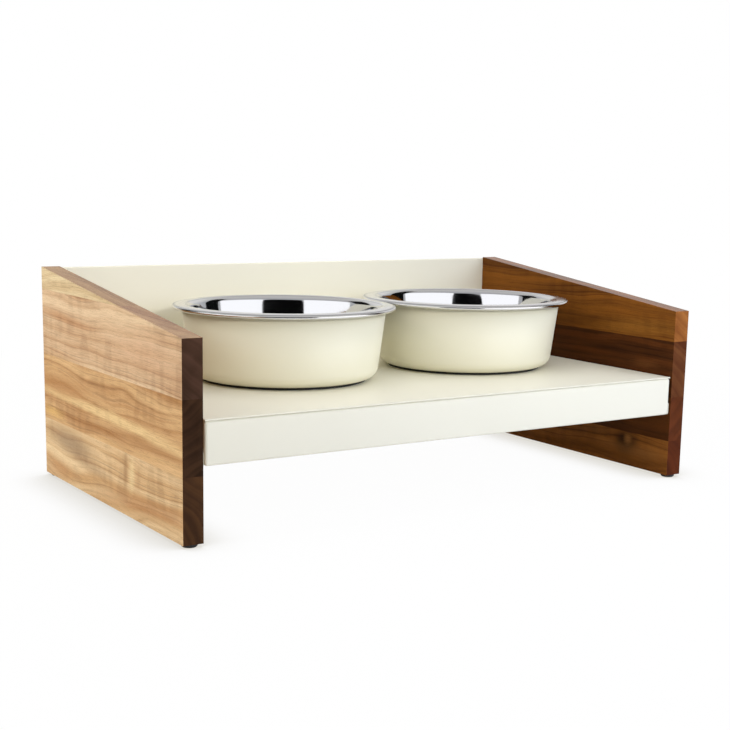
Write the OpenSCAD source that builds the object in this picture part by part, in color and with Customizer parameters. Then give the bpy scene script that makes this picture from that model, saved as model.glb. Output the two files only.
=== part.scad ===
// Elevated pet feeder with a shallow drawer.
//
// Two edge-glued wooden side panels carry a folded steel shelf, a steel back and a pair of
// angle runners. A steel drawer without a handle slides on the runners under the shelf.
// Two double-wall bowls stand loose on the shelf.
//
// Millimetres. +X is to the right, +Y to the rear and +Z up. The origin is on the floor,
// under the middle of the footprint.

/* [Side panels] */
// Width over the outer faces of the side panels
overall_w = 582; // [560:1:680]
// Depth of a side panel
side_depth = 330; // [300:1:380]
// Thickness of the wood
side_t = 19; // [16:0.5:25]
// Height of a side panel at the rear edge
side_rear_h = 212; // [200:1:220]
// Height of a side panel at the front edge
side_front_h = 175; // [155:1:190]

/* [Staves] */
// First glue line of the left panel, as a share of the panel's rear height
left_glue_1 = 0.275; // [0.22:0.005:0.28]
// Second glue line of the left panel
left_glue_2 = 0.585; // [0.54:0.005:0.65]
// Third glue line of the left panel
left_glue_3 = 0.895; // [0.82:0.005:0.905]
// First glue line of the right panel
right_glue_1 = 0.175; // [0.12:0.005:0.2]
// Distance of the right panel's second glue line below the shelf's top face
right_glue_drop = 22; // [20:0.5:26]
// Third glue line of the right panel, as a share of the panel's rear height
right_glue_3 = 0.675; // [0.6:0.005:0.75]

/* [Shelf] */
// Height of the shelf's top face above the lower edge of the side panels
shelf_h = 106; // [95:1:125]
// Height of the shelf's front, from the top face to the drawer's lower edge
shelf_face_h = 40; // [36:1:50]
// Thickness of the steel sheet
sheet_t = 1.2; // [0.8:0.1:1.6]
// Inside radius of the folds
fold_r = 1.2; // [0.8:0.1:2]
// How far the shelf and the drawer stand behind the front edges of the wood
front_setback = 0.5; // [0:0.1:3]
// Depth of the turned-down flanges of the shelf
flange_h = 26; // [22:0.5:27]
// Distance from the shelf's front to the start of its side flanges
flange_setback = 20; // [18:1:30]
// Play between a side flange of the shelf and the wood
side_play = 0.25; // [0.1:0.05:0.5]
// Height of the stiffening channel under the shelf
channel_h = 5; // [3:0.5:6]
// Width of the stiffening channel's crown
channel_w = 30; // [20:1:50]

/* [Back] */
// Margin of the back panel from the outer faces of the wood
back_margin = 4; // [2:0.5:6]
// How far the back panel stays below the top of the wood
back_drop = 1; // [0:0.5:6]
// Depth of the hem folded behind the top of the back panel
back_hem = 8; // [5:0.5:8.5]

/* [Drawer] */
// Gap between the drawer's front and the wood, each side
front_side_gap = 2.2; // [1.8:0.05:4]
// Gap between the drawer's front and the shelf above it
front_top_gap = 0.3; // [0.2:0.05:1.5]
// Depth of the returns folded back from the drawer's front
front_return = 14; // [8:0.5:16]
// Distance from the tray's side walls to the wood
tray_side_gap = 10; // [9:0.5:13]
// Distance from the tray's back wall to the back panel
tray_rear_gap = 14; // [10:0.5:24]
// Gap between the tray's walls and the stiffening channel
tray_top_gap = 2.2; // [1.5:0.1:4]
// Depth of the safe edge folded inside the tray's walls
tray_hem = 6; // [4:0.5:8]
// How far the drawer pulls out
drawer_travel = 230; // [120:5:250]

/* [Runners] */
// How far the runners start behind the front edges of the wood
runner_setback = 2.6; // [0.5:0.1:6]
// Thickness of the runner angles
runner_t = 1.6; // [1.2:0.1:2]
// Height of the runner's leg against the wood
runner_h = 12; // [9:0.5:13]
// Width of the runner's leg under the drawer
runner_w = 22; // [18:0.5:30]
// Running play between the tray and the runners
running_play = 0.2; // [0.1:0.05:0.4]
// Diameter of the stop pins on the tray
stop_pin_d = 5; // [4:0.5:6]

/* [Feet] */
// Diameter of a nail-on glide
glide_d = 14; // [10:0.5:16]
// Height of a glide
glide_h = 3; // [2:0.5:5]
// Distance from the glide's centre to the end of the side panel
glide_inset = 8; // [8:0.5:30]
// Length of a glide's nail in the wood
nail_l = 14; // [8:1:20]

/* [Bowls] */
// Diameter over the rolled rim
rim_d = 224; // [200:1:228]
// Height of a bowl, with its base ring
bowl_h = 75; // [62:1:88]
// Gap between the rims of the two bowls
bowl_gap = 2; // [1:0.5:20]
// Gap between the right bowl's rim and the wood
bowl_side_gap = 29; // [3:0.5:80]
// Gap between the rims and the back panel
bowl_back_gap = 40; // [5:1:90]
// Thickness of the polished liner
liner_t = 0.8; // [0.6:0.1:1.2]
// Thickness of the painted jacket
jacket_t = 0.7; // [0.6:0.1:1.2]
// Width of the flared rim, from the liner's wall to the outer edge
rim_w = 17; // [14:0.5:20]
// How far the rim overhangs the jacket
rim_overhang = 9.5; // [8:0.5:11]
// Lean of the bowl's walls from upright, in degrees
wall_lean = 7; // [3:0.1:9]
// Fall of the flared rim towards its edge, in degrees
rim_fall = 6; // [2:0.5:12]
// Radius of the bead rolled at the rim's edge
bead_r = 1.9; // [1.5:0.1:2.5]
// Radius where the rim turns into the liner's wall
lip_r = 6; // [4:0.5:7]
// Radius between the liner's wall and its floor
liner_floor_r = 18; // [12:1:24]
// Radius between the jacket's wall and its base
jacket_floor_r = 12; // [6:0.5:16]
// Height of the rubber base ring
ring_h = 2.4; // [1.5:0.1:4]
// Width of the rubber base ring
ring_w = 13; // [6:0.5:20]
// Space between the liner's floor and the jacket's base
floor_gap = 3; // [1.5:0.1:6]

/* [Fasteners] */
// Diameter of the machine screws that hold the shelf
shelf_screw_d = 5; // [4:0.5:6]
// Length of those screws
shelf_screw_l = 12; // [8:0.5:13]
// Outside diameter of the threaded inserts in the wood
insert_d = 8; // [7:0.5:10]
// Length of the threaded inserts
insert_l = 12; // [8:0.5:15]
// Diameter of the machine screws that join the back and the shelf
back_screw_d = 4; // [3:0.5:5]
// Spacing of those screws along the shelf
back_screw_pitch = 150; // [100:5:155]
// Shank diameter of the wood screws
wood_screw_d = 3.4; // [3:0.1:4]
// Length of the wood screws that hold the back
back_wood_screw_l = 25; // [15:1:35]
// Length of the wood screws that hold the runners
runner_screw_l = 13; // [10:0.5:15]
// Height of the low screw heads behind the back
head_h = 2.2; // [1.6:0.1:3]
// Diametral clearance of a screw in a sheet's hole
hole_play = 0.5; // [0.3:0.1:1]
// Diametral clearance of a piece seated in the wood or in its nut
seat_play = 0.1; // [0.05:0.05:0.2]

/* [Hidden] */
$fn = 64;
eps = 0.5;                                 // how far a cutter runs past a face

// Finishes
wood_light = [0.80, 0.62, 0.40];
wood_mid = [0.62, 0.42, 0.24];
wood_dark = [0.36, 0.21, 0.12];
cream = [0.93, 0.91, 0.84];
polished = [0.85, 0.86, 0.88];
zinc = [0.70, 0.71, 0.73];
black = [0.06, 0.06, 0.06];

// Frame of the whole feeder
fold_out = fold_r + sheet_t;               // outside radius of a fold
inner_w = overall_w - 2 * side_t;          // between the side panels
total_depth = side_depth + sheet_t + head_h;
y_front = -total_depth / 2;                // front edges of the wood
y_face = y_front + front_setback;          // front of the shelf and the drawer
y_rear = y_front + side_depth;             // rear edges of the wood
z_wood = glide_h;                          // lower edges of the wood
z_deck = z_wood + shelf_h;                 // top face of the shelf
z_low = z_deck - shelf_face_h;             // lower edge of the drawer's front
x_wood = overall_w / 2 - side_t;           // inner face of the right panel
x_mid_wood = overall_w / 2 - side_t / 2;   // middle of the right panel's thickness

// Shelf
flange_x = x_wood - side_play;             // outer face of a side flange
deck_flat_w = 2 * (flange_x - fold_out);   // flat between the side folds
deck_screw_z = z_deck - (fold_out + flange_h) / 2;
deck_screw_ends = 55;                      // first and last screw from the shelf's ends
deck_screw_y = [for (k = [0 : 2])
    y_face + deck_screw_ends + k * (y_rear - y_face - 2 * deck_screw_ends) / 2];
corner_relief = 3;                         // notch between two folds or hems that meet
channel_foot = 12;                         // spot-welded feet of the channel
channel_end = 22;                          // from the channel's end to the side flange
deck_screw_head = [shelf_screw_d * 1.9, shelf_screw_d * 0.55];

// Back
z_back_top = z_wood + side_rear_h - back_drop;
back_screw_x = [for (k = [-1.5 : 1 : 1.5]) k * back_screw_pitch];
back_screw_z = z_deck - (fold_out + flange_h) / 2;
back_screw_head_d = back_screw_d * 1.9;
back_screw_l = 8;
clinch_h = 3;                              // clinch nut behind the shelf's rear flange
clinch_d = back_screw_d * 2;
back_wood_screw_z = [z_low + 24, z_back_top - 14];

// Drawer
front_w = inner_w - 2 * front_side_gap;
z_front_top = z_deck - sheet_t - front_top_gap;
front_h = z_front_top - z_low;
tray_lift = 0.4;                           // tray above the front's lower return
z_tray = z_low + sheet_t + tray_lift;
tray_w = inner_w - 2 * tray_side_gap;
tray_y = y_face + sheet_t;                 // front wall of the tray, on the drawer's front
tray_d = y_rear - tray_rear_gap - tray_y;
tray_h = z_deck - sheet_t - channel_h - tray_top_gap - z_tray;
stud_d = 4;
stud_l = 7;
nut_h = 3.2;
nut_d = 8.1;                               // over the corners of the hexagon
stud_x = [for (k = [-1.5 : 1 : 1.5]) k * tray_w / 4];
stud_z = z_tray + tray_h / 2;

// Runners
z_run = z_tray - running_play;             // top of the leg that carries the tray
z_runner = z_run - runner_t;               // underside of that leg
runner_start = y_front + runner_setback;
runner_end = y_rear - 2;
leg_start = y_face + front_return + 2;     // the carrying leg starts behind the front's return
nose_play = 1.5;                           // between the nose tab and the tray's wall
nose_x = tray_side_gap - nose_play;        // reach of the nose tab from the wood
stop_play = 0.3;                           // between a stop and what it stops
rear_stop_h = 8;
runner_screw_z = z_run + (z_runner + runner_h - z_run) / 2;
runner_screw_head = [6.4, 1.8];
runner_screw_y = [for (k = [0.5 : 1 : 2.5]) leg_start + k * (runner_end - leg_start) / 3];
pin_l = 4;                                 // reach of a stop pin from the tray's wall
pin_y = leg_start + runner_t + stop_play + stop_pin_d / 2 + drawer_travel;
pin_z = z_tray + fold_out + stop_pin_d / 2;

// Feet
glide_y = [y_front + glide_inset, y_rear - glide_inset];
nail_d = 1.8;
nail_head = [5, 1];

// Bowls, in a bowl's own frame: radius and height above the shelf
rim_r = rim_d / 2;
bowl_right_x = x_wood - bowl_side_gap - rim_r;
bowl_left_x = bowl_right_x - bowl_gap - rim_d;
bowl_y = y_rear - bowl_back_gap - rim_r;
arc_steps = 10;
lip_end = 90 - rim_fall;                   // where the lip's arc and the bead's arc turn level
bead_end = -115;
lip_c = [rim_r - rim_w + lip_r * cos(wall_lean), bowl_h - liner_t / 2 - lip_r];
lip_out = lip_c + lip_r * [cos(lip_end), sin(lip_end)];
bead_line_r = bead_r - liner_t / 2;        // the bead's radius at mid-thickness
bead_in_x = rim_r - bead_r + bead_line_r * cos(lip_end);
bead_c = [rim_r - bead_r,
          lip_out.y - (bead_in_x - lip_out.x) * tan(rim_fall) - bead_line_r * sin(lip_end)];
wall_top = lip_c + lip_r * [-cos(wall_lean), sin(wall_lean)];
liner_floor_z = ring_h + jacket_t + floor_gap + liner_t / 2;
liner_wall_low = liner_floor_z + liner_floor_r * (1 - sin(wall_lean));
liner_floor_c = [wall_top.x - (wall_top.y - liner_wall_low) * tan(wall_lean)
                 - liner_floor_r * cos(wall_lean), liner_floor_z + liner_floor_r];
seam_gap = 0.1;                            // jacket's top edge under the rim
jacket_top_r = rim_r - rim_overhang - jacket_t / 2;
jacket_top_z = lip_out.y - liner_t / cos(rim_fall) / 2 - seam_gap
               - max(0, jacket_top_r + jacket_t / 2 - lip_out.x) * tan(rim_fall);
jacket_floor_z = ring_h + jacket_t / 2;
jacket_wall_low = jacket_floor_z + jacket_floor_r * (1 - sin(wall_lean));
jacket_floor_c = [jacket_top_r - (jacket_top_z - jacket_wall_low) * tan(wall_lean)
                  - jacket_floor_r * cos(wall_lean), jacket_floor_z + jacket_floor_r];
ring_r = jacket_floor_c.x + 0.5;

// ---------------------------------------------------------------- helpers

// Points of an arc about c, from angle a0 to angle a1.
function arc(c, r, a0, a1) =
    [for (k = [0 : arc_steps]) c + r * [cos(a0 + (a1 - a0) * k / arc_steps),
                                        sin(a0 + (a1 - a0) * k / arc_steps)]];

function reversed(list) = [for (k = [len(list) - 1 : -1 : 0]) list[k]];

// Copies its children to both sides of the feeder.
module both_sides() {
    children();
    mirror([1, 0, 0]) children();
}

// A quarter of a folded edge, along +Z, in the +X +Y corner about its centre line.
module fold(length, r_in, t) {
    linear_extrude(length)
        intersection() {
            difference() {
                circle(r_in + t);
                circle(r_in);
            }
            square(r_in + t);
        }
}

// The +X +Y quarter of an open pan folded from sheet, its corners closed and rounded.
module pan_quarter(half_w, half_d, h, r, t) {
    flat_w = half_w - r;
    flat_d = half_d - r;
    cube([flat_w, flat_d, t]);
    translate([flat_w + r - t, 0, r]) cube([t, flat_d, h - r]);
    translate([0, flat_d + r - t, r]) cube([flat_w, t, h - r]);
    translate([flat_w, flat_d, r]) fold(h - r, r - t, t);
    translate([flat_w, flat_d, r]) rotate([90, 0, 0]) mirror([0, 1, 0]) fold(flat_d, r - t, t);
    translate([0, flat_d, r]) rotate([90, 0, 90]) mirror([0, 1, 0]) fold(flat_w, r - t, t);
    translate([flat_w, flat_d, r])
        intersection() {
            difference() {
                sphere(r);
                sphere(r - t);
            }
            translate([0, 0, -r]) cube(r);
        }
}

// An open pan of outer size w, d and h: its underside is centred on the origin, open upwards.
module pan(w, d, h, r, t) {
    for (sx = [0, 1], sy = [0, 1])
        mirror([sx, 0, 0]) mirror([0, sy, 0]) pan_quarter(w / 2, d / 2, h, r, t);
}

// A screw with a low domed head: the head stands on z = 0 and the shank points down.
module button_screw(d, length, head) {
    difference() {
        union() {
            translate([0, 0, -length]) cylinder(h = length, d = d);
            cylinder(h = head[1], d1 = head[0], d2 = head[0] * 0.62);
        }
        translate([0, 0, head[1] * 0.4]) cylinder(h = head[1], d = d * 0.66, $fn = 6);
    }
}

// A round tube with its axis along +Z, from z = 0 up.
module sleeve(d_out, d_in, h) {
    difference() {
        cylinder(h = h, d = d_out);
        translate([0, 0, -eps]) cylinder(h = h + 2 * eps, d = d_in);
    }
}

// ---------------------------------------------------------------- side panels

// Heights of the glue lines above the lower edge, with the two outer edges.
left_lines = [0, left_glue_1 * side_rear_h, left_glue_2 * side_rear_h,
              left_glue_3 * side_rear_h, side_rear_h + eps];
right_lines = [0, right_glue_1 * side_rear_h, shelf_h - right_glue_drop,
               right_glue_3 * side_rear_h, side_rear_h + eps];

// The right panel as one blank, its top edge sloping from the rear to the front.
module side_blank() {
    translate([x_wood, y_front, z_wood])
        rotate([90, 0, 90])
            linear_extrude(side_t)
                polygon([[0, 0], [side_depth, 0], [side_depth, side_rear_h], [0, side_front_h]]);
}

// Everything that is drilled into the right panel.
module side_drillings() {
    for (y = deck_screw_y)
        translate([x_wood - eps, y, deck_screw_z]) rotate([0, 90, 0])
            cylinder(h = insert_l + eps, d = insert_d + seat_play);
    for (y = runner_screw_y)
        translate([x_wood - eps, y, runner_screw_z]) rotate([0, 90, 0])
            cylinder(h = runner_screw_l + eps, d = wood_screw_d + seat_play);
    for (z = back_wood_screw_z)
        translate([x_mid_wood, y_rear - back_wood_screw_l, z]) rotate([-90, 0, 0])
            cylinder(h = back_wood_screw_l + eps, d = wood_screw_d + seat_play);
    for (y = glide_y)
        translate([x_mid_wood, y, z_wood - eps])
            cylinder(h = nail_l + 2 * eps, d = nail_d + seat_play);
}

// One stave of the right panel, between two of its glue lines.
module stave(lines, n) {
    difference() {
        intersection() {
            side_blank();
            translate([x_wood - eps, y_front - eps, z_wood + lines[n - 1]])
                cube([side_t + 2 * eps, side_depth + 2 * eps, lines[n] - lines[n - 1]]);
        }
        side_drillings();
    }
}

module left_stave(n) { mirror([1, 0, 0]) stave(left_lines, n); }

module side_left_stave_1() { color(wood_mid) left_stave(1); }
module side_left_stave_2() { color(wood_light) left_stave(2); }
module side_left_stave_3() { color(wood_light) left_stave(3); }
module side_left_stave_4() { color(wood_light) left_stave(4); }
module side_right_stave_1() { color(wood_mid) stave(right_lines, 1); }
module side_right_stave_2() { color(wood_dark) stave(right_lines, 2); }
module side_right_stave_3() { color(wood_dark) stave(right_lines, 3); }
module side_right_stave_4() { color(wood_mid) stave(right_lines, 4); }

// ---------------------------------------------------------------- shelf and back

// Section of the shelf from its plain front edge to the rear flange, Y to the right.
module deck_section() {
    translate([y_face, z_deck - sheet_t]) square([y_rear - fold_out - y_face, sheet_t]);
    translate([y_rear - fold_out, z_deck - fold_out])
        intersection() {
            difference() {
                circle(fold_out);
                circle(fold_r);
            }
            square(fold_out);
        }
    translate([y_rear - sheet_t, z_deck - flange_h]) square([sheet_t, flange_h - fold_out]);
}

// The right side flange, turned down over a fold.
module deck_flange() {
    start = y_face + flange_setback;
    length = y_rear - fold_out - corner_relief - start;
    translate([deck_flat_w / 2, start + length, z_deck - fold_out]) rotate([90, 0, 0])
        fold(length, fold_r, sheet_t);
    translate([flange_x - sheet_t, start, z_deck - flange_h])
        cube([sheet_t, length, flange_h - fold_out]);
}

// The flat in front of the right side flange, as wide as the drawer's front.
module deck_ear() {
    translate([0, y_face, z_deck - sheet_t])
        cube([front_w / 2, flange_setback - corner_relief, sheet_t]);
}

module deck() {
    color(cream)
        difference() {
            union() {
                translate([-deck_flat_w / 2, 0, 0]) rotate([90, 0, 90])
                    linear_extrude(deck_flat_w) deck_section();
                both_sides() {
                    deck_flange();
                    deck_ear();
                }
            }
            both_sides() {
                translate([deck_flat_w / 2 - corner_relief, y_rear - fold_out, z_deck - flange_h - eps])
                    cube([corner_relief + eps, fold_out + eps, flange_h + 2 * eps]);
                for (y = deck_screw_y)
                    translate([flange_x - sheet_t - eps, y, deck_screw_z]) rotate([0, 90, 0])
                        cylinder(h = sheet_t + 2 * eps, d = shelf_screw_d + hole_play);
            }
            for (x = back_screw_x)
                translate([x, y_rear - sheet_t - eps, back_screw_z]) rotate([-90, 0, 0])
                    cylinder(h = sheet_t + 2 * eps, d = back_screw_d + hole_play);
        }
}

// A shallow channel welded across the underside of the shelf.
module deck_stiffener() {
    length = deck_flat_w - 2 * channel_end;
    top = z_deck - sheet_t;
    mid = (y_face + y_rear) / 2;
    web = channel_w / 2;
    color(cream)
        translate([-length / 2, mid, top]) rotate([90, 0, 90])
            linear_extrude(length) {
                for (s = [0, 1]) mirror([s, 0]) {
                    translate([web - sheet_t, -sheet_t]) square([channel_foot + sheet_t, sheet_t]);
                    translate([web - sheet_t, -channel_h]) square([sheet_t, channel_h]);
                }
                translate([-web, -channel_h]) square([channel_w, sheet_t]);
            }
}

module back_panel() {
    width = overall_w - 2 * back_margin;
    color(cream)
        difference() {
            translate([-width / 2, y_rear, 0]) rotate([90, 0, 90])
                linear_extrude(width) {
                    translate([0, z_low]) square([sheet_t, z_back_top - sheet_t - z_low]);
                    translate([sheet_t, z_back_top - sheet_t - back_hem])
                        square([sheet_t, back_hem]);
                    translate([sheet_t, z_back_top - sheet_t]) circle(sheet_t);
                }
            for (x = back_screw_x)
                translate([x, y_rear - eps, back_screw_z]) rotate([-90, 0, 0])
                    cylinder(h = sheet_t + 2 * eps, d = back_screw_d + hole_play);
            both_sides()
                for (z = back_wood_screw_z)
                    translate([x_mid_wood, y_rear - eps, z]) rotate([-90, 0, 0])
                        cylinder(h = sheet_t + 2 * eps, d = wood_screw_d + hole_play);
        }
}

module deck_screws() {
    color(zinc)
        both_sides()
            for (y = deck_screw_y)
                translate([flange_x - sheet_t, y, deck_screw_z]) rotate([0, -90, 0])
                    button_screw(shelf_screw_d, shelf_screw_l, deck_screw_head);
}

module wood_inserts() {
    color(zinc)
        both_sides()
            for (y = deck_screw_y)
                translate([x_wood, y, deck_screw_z]) rotate([0, 90, 0])
                    sleeve(insert_d, shelf_screw_d + seat_play, insert_l);
}

module back_wood_screws() {
    color(zinc)
        both_sides()
            for (z = back_wood_screw_z)
                translate([x_mid_wood, y_rear + sheet_t, z]) rotate([-90, 0, 0])
                    button_screw(wood_screw_d, back_wood_screw_l, [wood_screw_d * 2, head_h]);
}

module back_deck_screws() {
    color(zinc)
        for (x = back_screw_x)
            translate([x, y_rear + sheet_t, back_screw_z]) rotate([-90, 0, 0])
                button_screw(back_screw_d, back_screw_l, [back_screw_head_d, head_h]);
}

module clinch_nuts() {
    color(zinc)
        for (x = back_screw_x)
            translate([x, y_rear - sheet_t, back_screw_z]) rotate([90, 0, 0])
                sleeve(clinch_d, back_screw_d + seat_play, clinch_h);
}

// ---------------------------------------------------------------- runners

// Right runner: an angle with a nose tab at the front and a stop tab at the rear.
module runner() {
    fold_in = 1;
    outer = fold_in + runner_t;
    tray_rear = tray_y + tray_d;
    difference() {
        union() {
            translate([x_wood, runner_end, z_runner]) rotate([90, 0, 0])
                linear_extrude(runner_end - runner_start) {
                    translate([-runner_t, outer]) square([runner_t, runner_h - outer]);
                    translate([-runner_w, 0]) square([runner_w - outer, runner_t]);
                    translate([-outer, outer])
                        intersection() {
                            difference() {
                                circle(outer);
                                circle(fold_in);
                            }
                            translate([0, -outer]) square(outer);
                        }
                }
            translate([x_wood - nose_x, leg_start, z_run + stop_play])
                cube([nose_x - runner_t / 2, runner_t, runner_h - runner_t - stop_play]);
            translate([x_wood - runner_w, tray_rear + stop_play, z_runner])
                cube([runner_w - tray_side_gap / 2, runner_t, runner_t + rear_stop_h]);
        }
        translate([x_wood - runner_w - eps, runner_start - eps, z_runner - eps])
            cube([runner_w + eps - runner_t, leg_start - runner_start + eps, runner_h]);
        for (y = runner_screw_y)
            translate([x_wood - runner_t - eps, y, runner_screw_z]) rotate([0, 90, 0])
                cylinder(h = runner_t + 2 * eps, d = wood_screw_d + hole_play);
    }
}

module runner_left() { color(cream) mirror([1, 0, 0]) runner(); }
module runner_right() { color(cream) runner(); }

module runner_screws() {
    color(zinc)
        both_sides()
            for (y = runner_screw_y)
                translate([x_wood - runner_t, y, runner_screw_z]) rotate([0, -90, 0])
                    button_screw(wood_screw_d, runner_screw_l, runner_screw_head);
}

// ---------------------------------------------------------------- feet

// One glide under the wood, with the pocket for its nail.
module glide(x, y) {
    color(black)
        translate([x, y, 0])
            difference() {
                union() {
                    cylinder(h = glide_h / 3, d1 = glide_d - 2, d2 = glide_d);
                    translate([0, 0, glide_h / 3]) cylinder(h = glide_h * 2 / 3, d = glide_d);
                }
                translate([0, 0, -eps]) cylinder(h = nail_head[1] + eps, d = nail_head[0] + hole_play);
                cylinder(h = glide_h + eps, d = nail_d + seat_play);
            }
}

module glide_front_left() { glide(-x_mid_wood, glide_y[0]); }
module glide_front_right() { glide(x_mid_wood, glide_y[0]); }
module glide_rear_left() { glide(-x_mid_wood, glide_y[1]); }
module glide_rear_right() { glide(x_mid_wood, glide_y[1]); }

module glide_nails() {
    color(zinc)
        both_sides()
            for (y = glide_y)
                translate([x_mid_wood, y, nail_head[1] / 2]) {
                    cylinder(h = nail_head[1] / 2, d = nail_head[0]);
                    translate([0, 0, nail_head[1] / 2])
                        cylinder(h = z_wood + nail_l - nail_head[1], d = nail_d);
                }
}

// ---------------------------------------------------------------- drawer

// The folded front: a shallow pan open to the rear, with four studs welded inside.
module drawer_front() {
    color(cream) {
        translate([0, y_face, z_low + front_h / 2]) rotate([-90, 0, 0])
            pan(front_w, front_h, front_return, fold_out, sheet_t);
        for (x = stud_x)
            translate([x, y_face + sheet_t, stud_z]) rotate([-90, 0, 0])
                cylinder(h = stud_l, d = stud_d);
    }
}

// The folded tray behind the front, with a safe edge inside each wall.
module drawer_tray() {
    hem_w = tray_w - 2 * (fold_out + corner_relief);
    hem_d = tray_d - 2 * (fold_out + corner_relief);
    color(cream)
        translate([0, tray_y + tray_d / 2, z_tray])
            difference() {
                union() {
                    pan(tray_w, tray_d, tray_h, fold_out, sheet_t);
                    for (s = [-1, 1]) {
                        translate([s * (tray_w / 2 - sheet_t * 1.5), 0, tray_h - tray_hem / 2])
                            cube([sheet_t, hem_d, tray_hem], center = true);
                        translate([0, s * (tray_d / 2 - sheet_t * 1.5), tray_h - tray_hem / 2])
                            cube([hem_w, sheet_t, tray_hem], center = true);
                    }
                }
                for (x = stud_x)
                    translate([x, -tray_d / 2 - eps, stud_z - z_tray]) rotate([-90, 0, 0])
                        cylinder(h = sheet_t + 2 * eps, d = stud_d + hole_play);
            }
}

module drawer_front_nuts() {
    color(zinc)
        for (x = stud_x)
            translate([x, tray_y + sheet_t, stud_z]) rotate([-90, 0, 0])
                difference() {
                    cylinder(h = nut_h, d = nut_d, $fn = 6);
                    translate([0, 0, -eps]) cylinder(h = nut_h + 2 * eps, d = stud_d + seat_play);
                }
}

module drawer_stop_pins() {
    color(zinc)
        both_sides()
            translate([tray_w / 2, pin_y, pin_z]) rotate([0, 90, 0])
                cylinder(h = pin_l, d = stop_pin_d);
}

// ---------------------------------------------------------------- bowls

// The liner's line, moved by s towards the inside of the bowl.
function liner_line(s) = concat(
    [[0, liner_floor_z + s]],
    arc(liner_floor_c, liner_floor_r - s, -90, -wall_lean),
    arc(lip_c, lip_r + s, 180 - wall_lean, lip_end),
    arc(bead_c, bead_line_r + s, lip_end, bead_end));

// The jacket's line, moved by s towards the inside.
function jacket_line(s) = concat(
    [[0, jacket_floor_z + s]],
    arc(jacket_floor_c, jacket_floor_r - s, -90, -wall_lean),
    [[jacket_top_r - s / cos(wall_lean), jacket_top_z]]);

// A spun wall of thickness t, from its line on the inside and on the outside.
module spun(inside, outside) {
    rotate_extrude($fn = 128) polygon(concat(inside, reversed(outside)));
}

module bowl_at(x) { translate([x, bowl_y, z_deck]) children(); }

module liner() {
    color(polished) spun(liner_line(liner_t / 2), liner_line(-liner_t / 2));
}

module jacket() {
    color(cream) spun(jacket_line(jacket_t / 2), jacket_line(-jacket_t / 2));
}

// Rubber ring bonded under the jacket, its lower edges eased.
module base_ring() {
    ease = ring_h / 4;
    color(black)
        rotate_extrude($fn = 128)
            polygon([[ring_r - ring_w, ease], [ring_r - ring_w + ease, 0], [ring_r - ease, 0],
                     [ring_r, ease], [ring_r, ring_h], [ring_r - ring_w, ring_h]]);
}

module bowl_left_liner() { bowl_at(bowl_left_x) liner(); }
module bowl_left_jacket() { bowl_at(bowl_left_x) jacket(); }
module bowl_left_ring() { bowl_at(bowl_left_x) base_ring(); }
module bowl_right_liner() { bowl_at(bowl_right_x) liner(); }
module bowl_right_jacket() { bowl_at(bowl_right_x) jacket(); }
module bowl_right_ring() { bowl_at(bowl_right_x) base_ring(); }

// ---------------------------------------------------------------- nodes

side_left_stave_1();
side_left_stave_2();
side_left_stave_3();
side_left_stave_4();
side_right_stave_1();
side_right_stave_2();
side_right_stave_3();
side_right_stave_4();
deck();
deck_stiffener();
back_panel();
runner_left();
runner_right();
deck_screws();
wood_inserts();
runner_screws();
back_wood_screws();
back_deck_screws();
clinch_nuts();
glide_front_left();
glide_front_right();
glide_rear_left();
glide_rear_right();
glide_nails();
drawer_front();
drawer_tray();
drawer_front_nuts();
drawer_stop_pins();
bowl_left_liner();
bowl_left_jacket();
bowl_left_ring();
bowl_right_liner();
bowl_right_jacket();
bowl_right_ring();
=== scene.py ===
"""Studio picture of an elevated pet feeder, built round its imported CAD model.

The CAD nodes stay where model.glb puts them and get procedural materials. The spun walls of the
two bowls are drawn again with finer curves, because a mirror finish shows every facet. Lengths
are in metres unless a name or comment says otherwise.
"""

import logging
import math
from abc import ABC, abstractmethod
from dataclasses import dataclass
from enum import Enum

import bmesh
import bpy
from mathutils import Euler, Matrix, Vector


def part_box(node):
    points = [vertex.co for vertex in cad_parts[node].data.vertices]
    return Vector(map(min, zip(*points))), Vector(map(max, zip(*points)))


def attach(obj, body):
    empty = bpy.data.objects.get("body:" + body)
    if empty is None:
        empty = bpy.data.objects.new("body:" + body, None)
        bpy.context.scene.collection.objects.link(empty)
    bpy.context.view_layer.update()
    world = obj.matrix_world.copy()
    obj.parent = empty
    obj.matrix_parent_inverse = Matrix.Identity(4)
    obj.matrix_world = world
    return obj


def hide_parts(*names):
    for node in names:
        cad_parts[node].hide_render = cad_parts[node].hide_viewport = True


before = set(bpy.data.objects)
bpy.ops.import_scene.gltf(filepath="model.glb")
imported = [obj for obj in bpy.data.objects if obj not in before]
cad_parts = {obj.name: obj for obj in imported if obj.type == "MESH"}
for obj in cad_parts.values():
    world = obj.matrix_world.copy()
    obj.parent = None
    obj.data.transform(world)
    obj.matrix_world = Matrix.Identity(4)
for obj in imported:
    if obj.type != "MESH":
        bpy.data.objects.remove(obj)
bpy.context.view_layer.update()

log = logging.getLogger("feeder")

Pair = tuple[float, float]
Point = tuple[float, float]
Place = tuple[float, float, float]
Socket = bpy.types.NodeSocket
Sockets = bpy.types.bpy_prop_collection
Input = Socket | float | tuple[float, ...]
Ring = list[bmesh.types.BMVert]

MM = 0.001
WHITE = "ffffff"

# Nearly all values of a noise texture lie in this range, round a middle of 0.5.
NOISE_RANGE = (0.3, 0.7)
NOISE_MIDDLE = 0.5
# Cosines at which a face starts to count as square to an axis, and at which it fully does.
SQUARE_TO = (0.6, 0.95)


class Slot(Enum):
    """Names of the material slots of the pieces that are drawn again."""

    LINER = "polished_stainless"
    JACKET = "cream_jacket"


class Side(Enum):
    """The feeder's two sides as seen from the front, as the CAD nodes spell them."""

    LEFT = "left"
    RIGHT = "right"


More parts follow.
